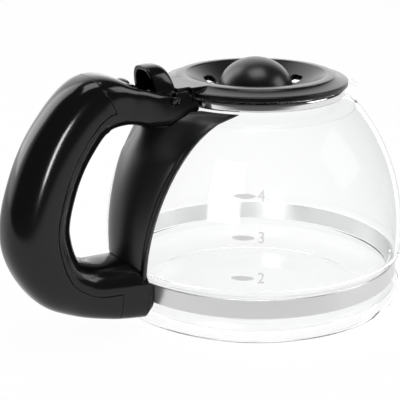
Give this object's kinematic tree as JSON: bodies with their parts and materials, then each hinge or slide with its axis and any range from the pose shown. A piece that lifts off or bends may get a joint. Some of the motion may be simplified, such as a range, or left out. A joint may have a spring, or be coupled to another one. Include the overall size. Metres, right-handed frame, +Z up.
{
  "type": "coffee carafe",
  "caption": "Round glass coffee carafe with a black loop handle, steel bands at base and neck, and a hinged drip-through lid with a thumb lever.",
  "frame": {"origin": "centre of the glass foot, on the face that it stands on", "axes": "+Z up, +X towards the pouring lip, -X towards the handle, +Y to the left of someone who looks along +X"},
  "size_m": [0.1766, 0.1236, 0.1034],
  "materials": {
    "clear_glass": "clear and smooth",
    "satin_steel": "satin, brushed along the strap",
    "polished_steel": "polished",
    "zinc_steel": "zinc plated",
    "black_plastic": "smooth satin gloss, moulded",
    "lid_plastic": "fine satin, moulded",
    "dome_plastic": "glossy, moulded"
  },
  "bodies": {
    "jug": {"glass_body": "clear_glass", "base_band": "satin_steel", "base_band_screw": "zinc_steel", "base_band_nut": "zinc_steel", "neck_band": "polished_steel", "neck_band_screw": "zinc_steel", "neck_band_nut": "zinc_steel", "handle_frame": "black_plastic", "grip_cover": "black_plastic", "spine_guard": "black_plastic", "hinge_pin": "zinc_steel"},
    "lid_flap": {"lid": "lid_plastic", "lid_dome": "dome_plastic", "thumb_lever": "lid_plastic"}
  },
  "joints": [
    {"name": "lid_hinge", "type": "hinge", "parent": "jug", "child": "lid_flap", "pos_m": [-0.0456, 0, 0.0902], "axis": [0, -1, 0], "range_deg": [0, 80]}
  ]
}
